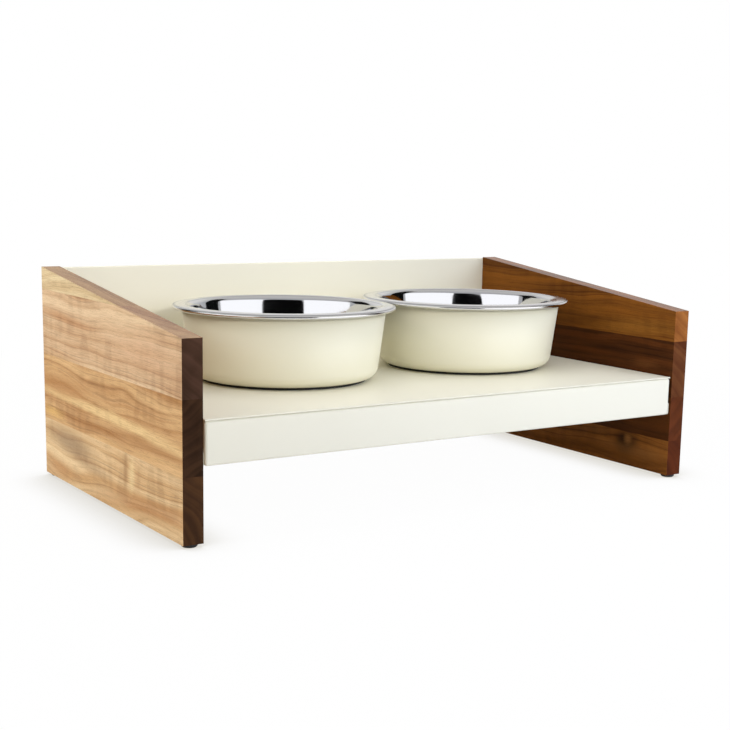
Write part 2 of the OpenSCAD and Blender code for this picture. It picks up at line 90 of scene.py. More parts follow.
def linear(hex_colour: str) -> tuple[float, float, float, float]:
    """Turn an sRGB colour into the linear one that shaders use.

    Args:
        hex_colour: Six hexadecimal digits, such as "c8a878".

    Returns:
        Linear red, green and blue, and an alpha of 1.
    """
    channels = [int(hex_colour[k : k + 2], 16) / 255 for k in (0, 2, 4)]
    return (*(c / 12.92 if c <= 0.04045 else ((c + 0.055) / 1.055) ** 2.4 for c in channels), 1.0)


# ---------------------------------------------------------------- materials


class Step(Enum):
    """A step of a shader's calculation.

    Each names a node's type, the sockets that take the values in turn, the output that is read,
    and the node's properties.
    """

    ADD = ("Math", (0, 1), 0, {"operation": "ADD"})
    SUBTRACT = ("Math", (0, 1), 0, {"operation": "SUBTRACT"})
    MULTIPLY = ("Math", (0, 1), 0, {"operation": "MULTIPLY"})
    MAXIMUM = ("Math", (0, 1), 0, {"operation": "MAXIMUM"})
    ABSOLUTE = ("Math", (0,), 0, {"operation": "ABSOLUTE"})
    LENGTH = ("VectorMath", (0,), "Value", {"operation": "LENGTH"})
    # Maps the range between the second and third values smoothly onto 0 to 1, or onto the range
    # between the fourth and fifth.
    SPAN = (
        "MapRange",
        ("Value", "From Min", "From Max", "To Min", "To Max"),
        "Result",
        {"interpolation_type": "SMOOTHSTEP"},
    )
    # Mixes two colours by a share, plainly or by darkening the first with the second.
    BLEND = ("Mix", (0, 6, 7), 2, {"data_type": "RGBA", "blend_type": "MIX"})
    TINT = ("Mix", (0, 6, 7), 2, {"data_type": "RGBA", "blend_type": "MULTIPLY"})
    # Goes from one shader to another by a share.
    SWITCH = ("MixShader", (0, 1, 2), 0, {})


class Shader:
    """The nodes of a material or of the world, added one at a time."""

    def __init__(self, owner: bpy.types.Material | bpy.types.World) -> None:
        """Start an empty node tree.

        Args:
            owner: The material or world that gets the nodes.
        """
        self.owner = owner
        owner.use_nodes = True
        owner.node_tree.nodes.clear()

    def node(
        self, kind: str, inputs: dict[str | int, Input] | None = None, **settings: object
    ) -> bpy.types.Node:
        """Add a node, set its properties and fill its sockets.

        Args:
            kind: The node's type name without the "ShaderNode" prefix.
            inputs: Socket name or index, with either a value or an output socket to link from.
            settings: Properties of the node.

        Returns:
            The new node.
        """
        tree = self.owner.node_tree
        made = tree.nodes.new("ShaderNode" + kind)
        for name, value in settings.items():
            setattr(made, name, value)
        for key, value in (inputs or {}).items():
            if isinstance(value, Socket):
                tree.links.new(value, made.inputs[key])
            else:
                made.inputs[key].default_value = value
        return made

    def apply(self, step: Step, *values: Input) -> Socket:
        """Add the node of one step of calculation.

        Args:
            step: What is done.
            values: Numbers, colours or sockets that it is done to, in the step's order.

        Returns:
            The result's socket.
        """
        kind, sockets, output, settings = step.value
        return self.node(kind, dict(zip(sockets, values)), **settings).outputs[output]

    def finish(self, surface: Socket) -> bpy.types.Material | bpy.types.World:
        """Link the surface to the output.

        Args:
            surface: The socket of the whole shader.

        Returns:
            The material or world.
        """
        in_world = isinstance(self.owner, bpy.types.World)
        self.node("OutputWorld" if in_world else "OutputMaterial", {"Surface": surface})
        return self.owner


def speckle(sh: Shader, pitch_mm: float, detail: float) -> Socket:
    """Noise that is alike in all directions.

    Args:
        sh: The shader under construction.
        pitch_mm: Distance between its features.
        detail: Octaves beyond the first.

    Returns:
        The noise's socket.
    """
    coords = sh.node("TexCoord").outputs["Object"]
    settings = {"Vector": coords, "Scale": 1 / (pitch_mm * MM), "Detail": detail}
    return sh.node("TexNoise", settings).outputs["Fac"]


class Finish(ABC):
    """A surface finish that can build its own material."""

    @abstractmethod
    def build(self) -> bpy.types.Material:
        """Build the finish's node material."""


@dataclass(frozen=True)
class Grain:
    """A noise that is stretched along or across the grain of the wood.

    Attributes:
        across: Features in a millimetre across the grain.
        along: Features in a millimetre along the grain.
        detail: Octaves beyond the first.
        roughness: How much the octaves count.
    """

    across: float
    along: float
    detail: float
    roughness: float = 0.5


# Growth bands wander over 60 to 220 mm along the grain and stay alike over 70 mm across it.
DRIFT = Grain(0.014, 0.0045, detail=2.0, roughness=0.45)
# Slow change of tone, over 200 mm along the grain and 26 mm across it.
TONE = Grain(0.038, 0.005, detail=3.0)
# Fibres, a little over 0.5 mm wide and 20 mm long.
FIBRES = Grain(1.8, 0.05, detail=2.0)
# Open pores: the peaks of a noise of 0.4 by 4 mm are about 0.2 mm wide and 2 mm long.
PORES = Grain(2.6, 0.26, detail=1.0)
PORE_PEAKS = (0.62, 0.74)
# Shimmer crosses the grain in soft bands some 12 mm apart.
SHIMMER = Grain(0.030, 0.085, detail=0.0)
SHIMMER_PEAKS = (0.40, 0.66)
# Shares of the growth bands and of the slow change of tone in the light and dark of the wood.
BAND_SHARE, TONE_SHARE = 0.6, 0.4
# Values of that sum at which the wood starts to turn dark and is darkest.
FACE_SHADES, END_SHADES = (0.36, 0.66), (0.36, 0.64)
# Thin lines of late wood in one band of growth.
LATE_LINES = 6.0
LATE_PEAKS = (0.52, 0.72)
# How far the drift bends a mark, in metres, and how deep the fibres fray its outline, as a share
# of its reach.
MARK_BEND = 0.02
MARK_FRAY = 0.7


@dataclass(frozen=True)
class Mark:
    """A soft-edged patch or streak in the wood.

    Attributes:
        middle: Y and Z of its middle, in metres.
        reach: Half its length along Y and half its height along Z, in metres.
        colour: sRGB colour that it tends to.
        strength: How far it gets there in the middle, 0 to 1.
        tilt: Rise towards the rear, in degrees.
    """

    middle: Point
    reach: Pair
    colour: str
    strength: float
    tilt: float = 0.0


@dataclass(frozen=True)
class Stave(Finish):
    """Oiled acacia with its grain along Y, cut from a log whose pith line is given.

    Sawn and sanded, it shows curved bands of growth with thin dark lines, and a satin sheen that
    is stronger where the top edge is planed.

    Attributes:
        name: The CAD node.
        pale: Colour of the light bands, sRGB.
        deep: Colour of the dark bands, sRGB.
        pith: X and Z of the log's centre line in metres, away from the stave.
        ring: Mean width of a band of growth in metres.
        sway: How far the bands wander sideways, in metres.
        figure: Strength of the bands of shimmer across the grain, 0 to 1.
        lines: Strength of the thin dark lines of late wood, 0 to 1.
        fibre_depth: How much the fibres darken the wood, 0 to 1.
        pore_depth: How much the pores darken the wood, 0 to 1.
        late_tint: Colour that tones the lines of late wood, sRGB.
        fibre_tint: Colour that tones the fibres, sRGB.
        pore_tint: Colour that tones the pores, sRGB.
        shimmer_tint: Colour that tones the dim bands of the shimmer, sRGB.
        end_pale: Colour of the light bands on the sawn ends, sRGB.
        end_deep: Colour of the dark bands on the sawn ends, sRGB.
        edge_shade_tint: Colour that darkens the planed top edge as painted shade, sRGB.
        edge_gloss: Weight of the oil film on the top edge, 0 to 1.
        right_face_shade: Colour that darkens the face towards +X as painted shade, sRGB.
        roughness: Roughness of the densest and of the most open fibres.
        marks: Patches and streaks on the broad faces.
        seed: Shifts the patterns, so that no two staves look alike.
    """

    name: str
    pale: str
    deep: str
    pith: Point
    ring: float = 0.011
    sway: float = 0.016
    figure: float = 0.14
    lines: float = 0.28
    fibre_depth: float = 0.24
    pore_depth: float = 0.30
    late_tint: str = "7c5433"
    fibre_tint: str = "6f4a2c"
    pore_tint: str = "4a2c18"
    shimmer_tint: str = "7a5a3c"
    end_pale: str = "4c382b"
    end_deep: str = "3a2a1e"
    edge_shade_tint: str = "dcd5cc"
    edge_gloss: float = 0.50
    right_face_shade: str = WHITE
    roughness: Pair = (0.46, 0.58)
    marks: tuple[Mark, ...] = ()
    seed: float = 0.0

    def build(self) -> bpy.types.Material:
        """Build the wood: its broad faces first, then the sawn ends and the planed top edge.

        Returns:
            The stave's material.
        """
        sh = Shader(bpy.data.materials.new(f"wood_{self.name}"))
        coords = sh.node("TexCoord").outputs
        xyz = sh.node("SeparateXYZ", {"Vector": coords["Object"]}).outputs
        drift = self._noise(sh, DRIFT)
        tone = self._noise(sh, TONE)
        fibre = self._noise(sh, FIBRES)
        pore = sh.apply(Step.SPAN, self._noise(sh, PORES), *PORE_PEAKS)

        turns = self._turns(sh, xyz, drift)
        bands = sh.apply(Step.MULTIPLY, self._layers(sh, turns, detail=2.5), BAND_SHARE)
        shade = sh.apply(Step.ADD, bands, sh.apply(Step.MULTIPLY, tone, TONE_SHARE))
        depth = sh.apply(Step.SPAN, shade, *FACE_SHADES)
        colour = sh.apply(Step.BLEND, depth, linear(self.pale), linear(self.deep))
        late = self._layers(sh, sh.apply(Step.MULTIPLY, turns, LATE_LINES), detail=1.0)
        late = sh.apply(Step.SPAN, late, *LATE_PEAKS)
        late_depth = sh.apply(Step.SPAN, tone, 0.35, 0.6, 0.08, self.lines)
        late = sh.apply(Step.MULTIPLY, late, late_depth)
        colour = sh.apply(Step.TINT, late, colour, linear(self.late_tint))
        for mark in self.marks:
            colour = self._mark(sh, mark, xyz, drift, fibre, colour)
        dark_fibre = sh.apply(Step.SPAN, fibre, 0.35, 0.75, 0.0, self.fibre_depth)
        colour = sh.apply(Step.TINT, dark_fibre, colour, linear(self.fibre_tint))
        dark_pore = sh.apply(Step.MULTIPLY, pore, self.pore_depth)
        colour = sh.apply(Step.TINT, dark_pore, colour, linear(self.pore_tint))
        dim = sh.apply(Step.SPAN, self._noise(sh, SHIMMER), *SHIMMER_PEAKS)
        dim = sh.apply(Step.MULTIPLY, dim, sh.apply(Step.SPAN, tone, 0.42, 0.60))
        dim = sh.apply(Step.MULTIPLY, dim, self.figure)
        colour = sh.apply(Step.TINT, dim, colour, linear(self.shimmer_tint))

        # End grain drinks the oil and turns darker.
        facing = sh.node("SeparateXYZ", {"Vector": coords["Normal"]}).outputs
        end = sh.apply(Step.SPAN, sh.apply(Step.ABSOLUTE, facing["Y"]), *SQUARE_TO)
        top = sh.apply(Step.SPAN, facing["Z"], *SQUARE_TO)
        right = sh.apply(Step.SPAN, facing["X"], *SQUARE_TO)
        sawn_depth = sh.apply(Step.SPAN, shade, *END_SHADES)
        sawn = sh.apply(Step.BLEND, sawn_depth, linear(self.end_pale), linear(self.end_deep))
        # Painted shade: the face towards +X is toned darker, as if it stood in shade.
        colour = sh.apply(Step.TINT, right, colour, linear(self.right_face_shade))
        # Painted shade: the top edge is toned darker, as if it caught less light.
        colour = sh.apply(Step.TINT, top, colour, linear(self.edge_shade_tint))
        colour = sh.apply(Step.BLEND, end, colour, sawn)

        # Sanding leaves the fibres standing about 0.1 mm over the pores. The planed edge is a
        # little smoother, and the oil lies on it as a film; elsewhere it has soaked in.
        relief = sh.apply(Step.SUBTRACT, sh.apply(Step.MULTIPLY, fibre, 0.5), pore)
        bump = sh.node("Bump", {"Height": relief, "Strength": 0.2, "Distance": 0.12 * MM})
        worn = sh.apply(Step.SPAN, fibre, 0.2, 0.8, *self.roughness)
        planed = sh.apply(Step.MULTIPLY, top, 0.08 * self.edge_gloss)
        surface = sh.node(
            "BsdfPrincipled",
            {
                "Base Color": colour,
                "Roughness": sh.apply(Step.SUBTRACT, worn, planed),
                "Specular IOR Level": 0.06,
                "Coat Weight": sh.apply(Step.MULTIPLY, top, self.edge_gloss),
                "Coat Roughness": 0.25,
                "Normal": bump.outputs["Normal"],
            },
        )
        return sh.finish(surface.outputs["BSDF"])

    def _noise(self, sh: Shader, grain: Grain) -> Socket:
        """Noise over the stave.

        Args:
            sh: The shader under construction.
            grain: The noise's size and detail.

        Returns:
            The noise's socket.
        """
        coords = sh.node("TexCoord").outputs["Object"]
        moved = sh.node("Mapping", {"Vector": coords, "Location": (self.seed, self.seed * 0.7, 0)})
        across, along = grain.across / MM, grain.along / MM
        scale = {"Vector": moved.outputs["Vector"], "Scale": (across, along, across)}
        settings = {
            "Vector": sh.node("Mapping", scale).outputs["Vector"],
            "Scale": 1.0,
            "Detail": grain.detail,
            "Roughness": grain.roughness,
        }
        return sh.node("TexNoise", settings).outputs["Fac"]

    def _turns(self, sh: Shader, xyz: Sockets, drift: Socket) -> Socket:
        """Distance from the pith, counted in bands of growth.

        Args:
            sh: The shader under construction.
            xyz: Sockets of the object coordinates.
            drift: Socket of the noise that bends the bands.

        Returns:
            The count's socket.
        """
        across = sh.apply(Step.SUBTRACT, xyz["X"], self.pith[0])
        up = sh.apply(Step.SUBTRACT, xyz["Z"], self.pith[1])
        flat = sh.node("CombineXYZ", {"X": across, "Y": up}).outputs[0]
        radius = sh.apply(Step.LENGTH, flat)
        bend = sh.apply(Step.SUBTRACT, drift, NOISE_MIDDLE)
        bend = sh.apply(Step.MULTIPLY, bend, 2 * self.sway)
        return sh.apply(Step.MULTIPLY, sh.apply(Step.ADD, radius, bend), 1 / self.ring)

    @staticmethod
    def _layers(sh: Shader, turns: Socket, detail: float) -> Socket:
        """Uneven layers along a count, about 0.3 to 0.7."""
        settings = {"W": turns, "Scale": 1.0, "Detail": detail, "Roughness": 0.55}
        return sh.node("TexNoise", settings, noise_dimensions="1D").outputs["Fac"]

    @staticmethod
    def _mark(
        sh: Shader,
        mark: Mark,
        xyz: Sockets,
        drift: Socket,
        fibre: Socket,
        colour: Socket,
    ) -> Socket:
        """Lay a mark over the colour.

        Args:
            sh: The shader under construction.
            mark: The patch or streak.
            xyz: Sockets of the object coordinates.
            drift: Socket of the noise that bends its outline.
            fibre: Socket of the fibres that fray its outline.
            colour: Socket of the colour so far.

        Returns:
            The socket of the new colour.
        """
        cos, sin = math.cos(math.radians(mark.tilt)), math.sin(math.radians(mark.tilt))
        y = sh.apply(Step.SUBTRACT, xyz["Y"], mark.middle[0])
        z = sh.apply(Step.SUBTRACT, xyz["Z"], mark.middle[1])
        bend = sh.apply(Step.SUBTRACT, drift, NOISE_MIDDLE)
        z = sh.apply(Step.ADD, z, sh.apply(Step.MULTIPLY, bend, MARK_BEND))
        along = [sh.apply(Step.MULTIPLY, *pair) for pair in ((y, cos), (z, sin))]
        over = [sh.apply(Step.MULTIPLY, *pair) for pair in ((z, cos), (y, sin))]
        shares = {
            "X": sh.apply(Step.MULTIPLY, sh.apply(Step.ADD, *along), 1 / mark.reach[0]),
            "Y": sh.apply(Step.MULTIPLY, sh.apply(Step.SUBTRACT, *over), 1 / mark.reach[1]),
        }
        away = sh.apply(Step.LENGTH, sh.node("CombineXYZ", shares).outputs[0])
        fray = sh.apply(Step.SUBTRACT, fibre, NOISE_MIDDLE)
        away = sh.apply(Step.ADD, away, sh.apply(Step.MULTIPLY, fray, MARK_FRAY))
        share = sh.apply(Step.SPAN, away, 0.1, 1.2, mark.strength, 0.0)
        return sh.apply(Step.BLEND, share, colour, linear(mark.colour))


@dataclass(frozen=True)
class Textured(Finish):
    """A plain finish whose fine texture varies its roughness and, where it is raised, its relief.

    Attributes:
        name: The material's name.
        colour: sRGB colour.
        pitch_mm: Pitch of the texture.
        roughness: Least and greatest roughness.
        relief: Strength of the relief, 0 for none.
        depth_mm: Height of the relief.
        metallic: 1 for a metal.
        detail: Octaves of the texture beyond the first.
        drift_to: sRGB colour that it drifts to, if it does.
        drift_mm: Distance over which it drifts.
    """

    name: str
    colour: str
    pitch_mm: float
    roughness: Pair
    relief: float = 0.0
    depth_mm: float = 0.0
    metallic: float = 0.0
    detail: float = 2.0
    drift_to: str = ""
    drift_mm: float = 0.0

    def build(self) -> bpy.types.Material:
        """Build the finish from its colour and texture.

        Returns:
            The material.
        """
        sh = Shader(bpy.data.materials.new(self.name))
        texture = speckle(sh, self.pitch_mm, self.detail)
        inputs = {
            "Base Color": linear(self.colour),
            "Metallic": self.metallic,
            "Roughness": sh.apply(Step.SPAN, texture, *NOISE_RANGE, *self.roughness),
        }
        if self.drift_to:
            drift = speckle(sh, self.drift_mm, self.detail)
            ends = (linear(self.colour), linear(self.drift_to))
            inputs["Base Color"] = sh.apply(Step.BLEND, drift, *ends)
        if self.relief:
            peaks = {"Height": texture, "Strength": self.relief, "Distance": self.depth_mm * MM}
            inputs["Normal"] = sh.node("Bump", peaks).outputs["Normal"]
        return sh.finish(sh.node("BsdfPrincipled", inputs).outputs["BSDF"])


# Powder coat on sheet steel: its orange peel breaks up the sheen, and its tone drifts a little.
POWDER_COAT = Textured(
    "powder_coat", "f2eedb", pitch_mm=0.8, roughness=(0.42, 0.50), relief=0.18, depth_mm=0.02,
    drift_to="efebd8", drift_mm=111.1,
)
# Baked enamel, sprayed: a soft gloss with a ripple of 2 mm that only shows in its reflections.
ENAMEL = Textured(
    "jacket_paint", "f2edd3", pitch_mm=2.083, roughness=(0.34, 0.40), relief=0.10, depth_mm=0.02
)
# Moulded rubber and plastic: dull and black, with the grain of the mould.
RUBBER = Textured(
    "base_rubber", "151515", pitch_mm=0.4545, roughness=(0.54, 0.66), relief=0.3, depth_mm=0.03
)
PLASTIC = Textured(
    "glide_plastic", "151515", pitch_mm=0.4545, roughness=(0.44, 0.56), relief=0.3, depth_mm=0.03
)
# Zinc plating on small steel hardware: bright, with a cloudy spangle.
ZINC = Textured(
    "zinc_plate", "c9cbce", pitch_mm=1.538, roughness=(0.26, 0.40), metallic=1.0, detail=3.0,
    drift_to="aeb1b4", drift_mm=1.538,
)


@dataclass(frozen=True)
class Polished(Finish):
    """Spun stainless steel polished to a mirror, with a duller rim.

    Attributes:
        name: The material's name.
        colour: sRGB colour of the steel.
        haze_mm: Distance over which the buffing's haze changes.
        haze: Least and greatest roughness of the mirror.
        rim_z: Height over the floor from which the steel is all rim, in metres.
        rim_fade: Height over which the mirror turns into rim, in metres.
        rim_painted_light: sRGB colour of the rim, paler than the steel as painted light that
            brightens its reflections.
        rim_roughness: Roughness of the rim.
        edge_z: Height of the rim's outer edge over the floor, in metres.
        edge_fade: Height over which the edge's colour fades, in metres.
        edge_painted_reflection: sRGB colour of the rim's outer edge, where the roll turns down,
            darkened as a painted reflection.
        edge_up: Cosines to the vertical at which a face starts to count as the edge's top, and
            at which it fully does.
    """

    name: str = "mirror_steel"
    colour: str = "d3d4d8"
    haze_mm: float = 15.38
    haze: Pair = (0.045, 0.085)
    rim_z: float = 0.1815
    rim_fade: float = 0.002
    rim_painted_light: str = "e6e5e4"
    rim_roughness: float = 0.17
    edge_z: float = 0.1831
    edge_fade: float = 0.0005
    edge_painted_reflection: str = "949496"
    edge_up: Pair = (0.80, 0.95)

    def build(self) -> bpy.types.Material:
        """Build the mirror with the faint polishing haze of spun steel.

        Returns:
            The material.
        """
        sh = Shader(bpy.data.materials.new(self.name))
        coords = sh.node("TexCoord").outputs["Object"]
        height = sh.node("SeparateXYZ", {"Vector": coords}).outputs["Z"]
        rim = sh.apply(Step.SPAN, height, self.rim_z - self.rim_fade, self.rim_z)
        # Painted reflection: the rim's outer edge is coloured dark, as a turned-down roll would
        # mirror.
        normal = sh.node("NewGeometry").outputs["Normal"]
        upward = sh.node("SeparateXYZ", {"Vector": normal}).outputs["Z"]
        facing_up = sh.apply(Step.SPAN, upward, *self.edge_up)
        low = sh.apply(Step.SPAN, height, self.edge_z, self.edge_z + self.edge_fade, 1.0, 0.0)
        edge = sh.apply(Step.MULTIPLY, low, facing_up)
        # Painted light: the rim is coloured paler than the mirror steel to brighten what it
        # reflects.
        rim_painted_reflections = sh.apply(Step.BLEND, edge, linear(self.rim_painted_light), linear(self.edge_painted_reflection))
        haze = speckle(sh, self.haze_mm, 4.0)
        mirror_rough = sh.apply(Step.SPAN, haze, *NOISE_RANGE, *self.haze)
        rim_rough = sh.apply(Step.SPAN, rim, 0.0, 1.0, 0.0, self.rim_roughness)
        surface = sh.node(
            "BsdfPrincipled",
            {
                "Base Color": sh.apply(Step.BLEND, rim, linear(self.colour), rim_painted_reflections),
                "Metallic": 1.0,
                "Roughness": sh.apply(Step.MAXIMUM, mirror_rough, rim_rough),
            },
        )
        return sh.finish(surface.outputs["BSDF"])


# ---------------------------------------------------------------- sub-assemblies


class SubAssembly(ABC):
    """A group of CAD nodes and pieces that belong together."""

    @abstractmethod
    def dress(self) -> None:
        """Give every node of the group its looks."""

    @staticmethod
    def coat(node: str, material: bpy.types.Material) -> None:
        """Put a material on a CAD node.

        Args:
            node: The node's name.
            material: Its new material.
        """
        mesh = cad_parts[node].data
        mesh.materials.clear()
        mesh.materials.append(material)
        log.info("%s takes %s", node, material.name)


@dataclass(frozen=True)
class SidePanel(SubAssembly):
    """One wooden side, glued from staves."""

    staves: tuple[Stave, ...]

    def dress(self) -> None:
        """Give each stave its own piece of wood."""
        for stave in self.staves:
            self.coat(stave.name, stave.build())


@dataclass(frozen=True)
class PlainNodes(SubAssembly):
    """CAD nodes that share one finish and need nothing else."""

    finish: Finish
    nodes: tuple[str, ...]

    def dress(self) -> None:
        """Put the shared material on every node."""
        material = self.finish.build()
        for node in self.nodes:
            self.coat(node, material)


@dataclass(frozen=True)
class Spinning:
    """A surface of revolution about a vertical axis.

    Attributes:
        name: Name of the piece.
        profile: Radius and height pairs of the closed section, in metres.
        centre: Where the axis meets the shelf.
        segments: Steps round the axis.
    """

    name: str
    profile: tuple[Point, ...]
    centre: Vector
    segments: int = 256

    def build(self) -> bpy.types.Object:
        """Turn the section round the axis.

        Returns:
            The smooth-shaded object, linked into the scene.
        """
        mesh = bpy.data.meshes.new(self.name)
        bm = bmesh.new()
        turns = [2 * math.pi * k / self.segments for k in range(self.segments)]
        rings = []
        for radius, height in self.profile:
            # A point on the axis is a ring of one vertex.
            places = [
                Vector((radius * math.cos(turn), radius * math.sin(turn), height))
                for turn in (turns if radius else turns[:1])
            ]
            rings.append([bm.verts.new(self.centre + place) for place in places])
        for lower, upper in zip(rings, rings[1:] + rings[:1]):
            self._band(bm, lower, upper)
        bmesh.ops.recalc_face_normals(bm, faces=bm.faces)
        bm.to_mesh(mesh)
        bm.free()
        mesh.shade_smooth()
        made = bpy.data.objects.new(self.name, mesh)
        bpy.context.scene.collection.objects.link(made)
        return made

    def _band(self, bm: bmesh.types.BMesh, lower: Ring, upper: Ring) -> None:
        """Fill the faces between two neighbouring rings.

        Args:
            bm: The mesh under construction.
            lower: Vertices of one ring, or the single one on the axis.
            upper: Those of the next ring.
        """
        if len(lower) == 1 and len(upper) == 1:
            return
        for k in range(self.segments):
            after = (k + 1) % self.segments
            corners = [
                lower[k % len(lower)],
                lower[after % len(lower)],
                upper[after % len(upper)],
                upper[k % len(upper)],
            ]
            unique = list(dict.fromkeys(corners))
            if len(unique) > 2:
                bm.faces.new(unique)


def arc(centre: Point, radius: float, start: float, end: float, steps: int = 24) -> list[Point]:
    """Points of an arc.

    Args:
        centre: Its centre.
        radius: Its radius.
        start: Angle of its first point, in degrees.
        end: Angle of its last point, in degrees.
        steps: Number of chords.

    Returns:
        The points from start to end.
    """
    turns = [math.radians(start + (end - start) * k / steps) for k in range(steps + 1)]
    return [(centre[0] + radius * math.cos(t), centre[1] + radius * math.sin(t)) for t in turns]


@dataclass(frozen=True)
class BowlShape:
    """Sizes of a bowl in millimetres and degrees.

    They are the CAD source's, except for the crown and the flare, which only show in the mirror.

    Attributes:
        rim_r: Outer radius of the rim.
        height: Height over the shelf.
        liner_t: Thickness of the liner's sheet.
        jacket_t: Thickness of the jacket's sheet.
        rim_w: Width of the rim from the mouth to its outer edge.
        rim_overhang: How far the rim stands out over the jacket.
        wall_lean: Lean of both walls from the vertical.
        rim_fall: Slope of the rim down to its outer edge.
        bead_r: Outer radius of the rolled bead.
        lip_r: Radius of the bend from the wall to the rim.
        liner_floor_r: Radius of the bend from the liner's floor to its wall.
        jacket_floor_r: Radius of the bend from the jacket's floor to its wall.
        ring_h: Height of the base ring under the jacket.
        floor_gap: Air between the two floors.
        seam_gap: Air between the jacket's top edge and the rim.
        bead_end: Angle at which the bead's roll ends.
        rim_crown: Rise of the rim in the middle of its width.
        wall_flare: How far the liner's wall bows in at half its height.
    """

    rim_r: float = 112.0
    height: float = 75.0
    liner_t: float = 0.8
    jacket_t: float = 0.7
    rim_w: float = 17.0
    rim_overhang: float = 9.5
    wall_lean: float = 7.0
    rim_fall: float = 6.0
    bead_r: float = 1.9
    lip_r: float = 6.0
    liner_floor_r: float = 18.0
    jacket_floor_r: float = 12.0
    ring_h: float = 2.4
    floor_gap: float = 3.0
    seam_gap: float = 0.1
    bead_end: float = -115.0
    rim_crown: float = 0.25
    wall_flare: float = 0.75

    def liner(self) -> tuple[Point, ...]:
        """Section of the liner, with the slight crown and flare that spinning leaves.

        Returns:
            Radius and height pairs round the sheet, in metres.
        """
        lean = math.radians(self.wall_lean)
        fall = math.radians(self.rim_fall)
        top = 90 - self.rim_fall
        lip_x = self.rim_r - self.rim_w + self.lip_r * math.cos(lean)
        lip = (lip_x, self.height - self.liner_t / 2 - self.lip_r)
        lip_out = (lip[0] + self.lip_r * math.sin(fall), lip[1] + self.lip_r * math.cos(fall))
        bead_line = self.bead_r - self.liner_t / 2
        bead_in = self.rim_r - self.bead_r + bead_line * math.sin(fall)
        bead = (
            self.rim_r - self.bead_r,
            lip_out[1] - (bead_in - lip_out[0]) * math.tan(fall) - bead_line * math.cos(fall),
        )
        wall_top = (lip[0] - self.lip_r * math.cos(lean), lip[1] + self.lip_r * math.sin(lean))
        floor_z = self.ring_h + self.jacket_t + self.floor_gap + self.liner_t / 2
        wall_low = floor_z + self.liner_floor_r * (1 - math.sin(lean))
        floor_in = (wall_top[1] - wall_low) * math.tan(lean) + self.liner_floor_r * math.cos(lean)
        floor = (wall_top[0] - floor_in, floor_z + self.liner_floor_r)
        # The bends turn further by these angles, so that they run smoothly into the bows.
        tip = self._end_slope(self.rim_crown, bead_in - lip_out[0])
        turn = self._end_slope(self.wall_flare, wall_top[1] - wall_low)

        def line(shift: float) -> list[Point]:
            """The sheet's middle line, moved to one of its faces.

            Args:
                shift: How far it is moved towards the bowl's inside.

            Returns:
                Its points from the axis to the bead's end.
            """
            corner = arc(floor, self.liner_floor_r - shift, -90, turn - self.wall_lean)
            inner = arc(lip, self.lip_r + shift, 180 - self.wall_lean - turn, top + tip)
            outer = arc(bead, bead_line + shift, top - tip, self.bead_end)
            return [
                (0.0, floor_z + shift),
                *corner,
                *self._bowed(corner[-1], inner[0], (-self.wall_flare, 0.0)),
                *inner,
                *self._bowed(inner[-1], outer[0], (0.0, self.rim_crown)),
                *outer,
            ]

        return self._metres(line(self.liner_t / 2) + line(-self.liner_t / 2)[::-1])

    def jacket(self) -> tuple[Point, ...]:
        """Section of the jacket, which ends just under the rim.

        Returns:
            Radius and height pairs round the sheet, in metres.
        """
        lean = math.radians(self.wall_lean)
        fall = math.radians(self.rim_fall)
        lip_x = self.rim_r - self.rim_w + self.lip_r * (math.cos(lean) + math.sin(fall))
        lip_z = self.height - self.liner_t / 2 - self.lip_r * (1 - math.cos(fall))
        top_r = self.rim_r - self.rim_overhang - self.jacket_t / 2
        top_z = lip_z - self.liner_t / math.cos(fall) / 2 - self.seam_gap
        top_z -= max(0.0, top_r + self.jacket_t / 2 - lip_x) * math.tan(fall)
        floor_z = self.ring_h + self.jacket_t / 2
        wall_low = floor_z + self.jacket_floor_r * (1 - math.sin(lean))
        floor_in = (top_z - wall_low) * math.tan(lean) + self.jacket_floor_r * math.cos(lean)
        floor = (top_r - floor_in, floor_z + self.jacket_floor_r)

        def line(shift: float) -> list[Point]:
            """The sheet's middle line, moved to one of its faces."""
            corner = arc(floor, self.jacket_floor_r - shift, -90, -self.wall_lean)
            return [(0.0, floor_z + shift), *corner, (top_r - shift / math.cos(lean), top_z)]

        return self._metres(line(self.jacket_t / 2) + line(-self.jacket_t / 2)[::-1])

    @staticmethod
    def _end_slope(bow: float, length: float) -> float:
        """Angle in degrees between a bowed line and its chord, at either end."""
        return math.degrees(math.atan(4 * bow / length))

    @staticmethod
    def _bowed(start: Point, end: Point, bow: Pair, steps: int = 16) -> list[Point]:
        """Points between two ends, on a parabola.

        Args:
            start: One end, which isn't among the points.
            end: The other end, likewise.
            bow: How far the middle is moved aside, in radius and in height.
            steps: Number of chords.

        Returns:
            The points from start to end.
        """
        return [
            tuple(a + (b - a) * t + 4 * most * t * (1 - t) for a, b, most in zip(start, end, bow))
            for t in (k / steps for k in range(1, steps))
        ]

    @staticmethod
    def _metres(points: list[Point]) -> tuple[Point, ...]:
        """Turn millimetres into metres."""
        return tuple((r * MM, z * MM) for r, z in points)


@dataclass(frozen=True)
class Bowl(SubAssembly):
    """A double-wall bowl that stands loose on the shelf."""

    side: Side
    shape: BowlShape
    steel: bpy.types.Material
    paint: bpy.types.Material
    rubber: bpy.types.Material

    def dress(self) -> None:
        """Draw the two spun walls again, smoothly, and coat the base ring."""
        name = f"bowl_{self.side.value}"
        low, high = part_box(f"{name}_ring")
        centre = Vector(((low[0] + high[0]) / 2, (low[1] + high[1]) / 2, low[2]))
        for part, section, material, slot in (
            ("liner", self.shape.liner(), self.steel, Slot.LINER),
            ("jacket", self.shape.jacket(), self.paint, Slot.JACKET),
        ):
            made = Spinning(f"{name}_{part}_spun", section, centre).build()
            made.data.materials.append(material)
            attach(made, name)
            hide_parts(f"{name}_{part}")
            log.info("%s replaces the CAD %s", made.name, part)
        self.coat(f"{name}_ring", self.rubber)


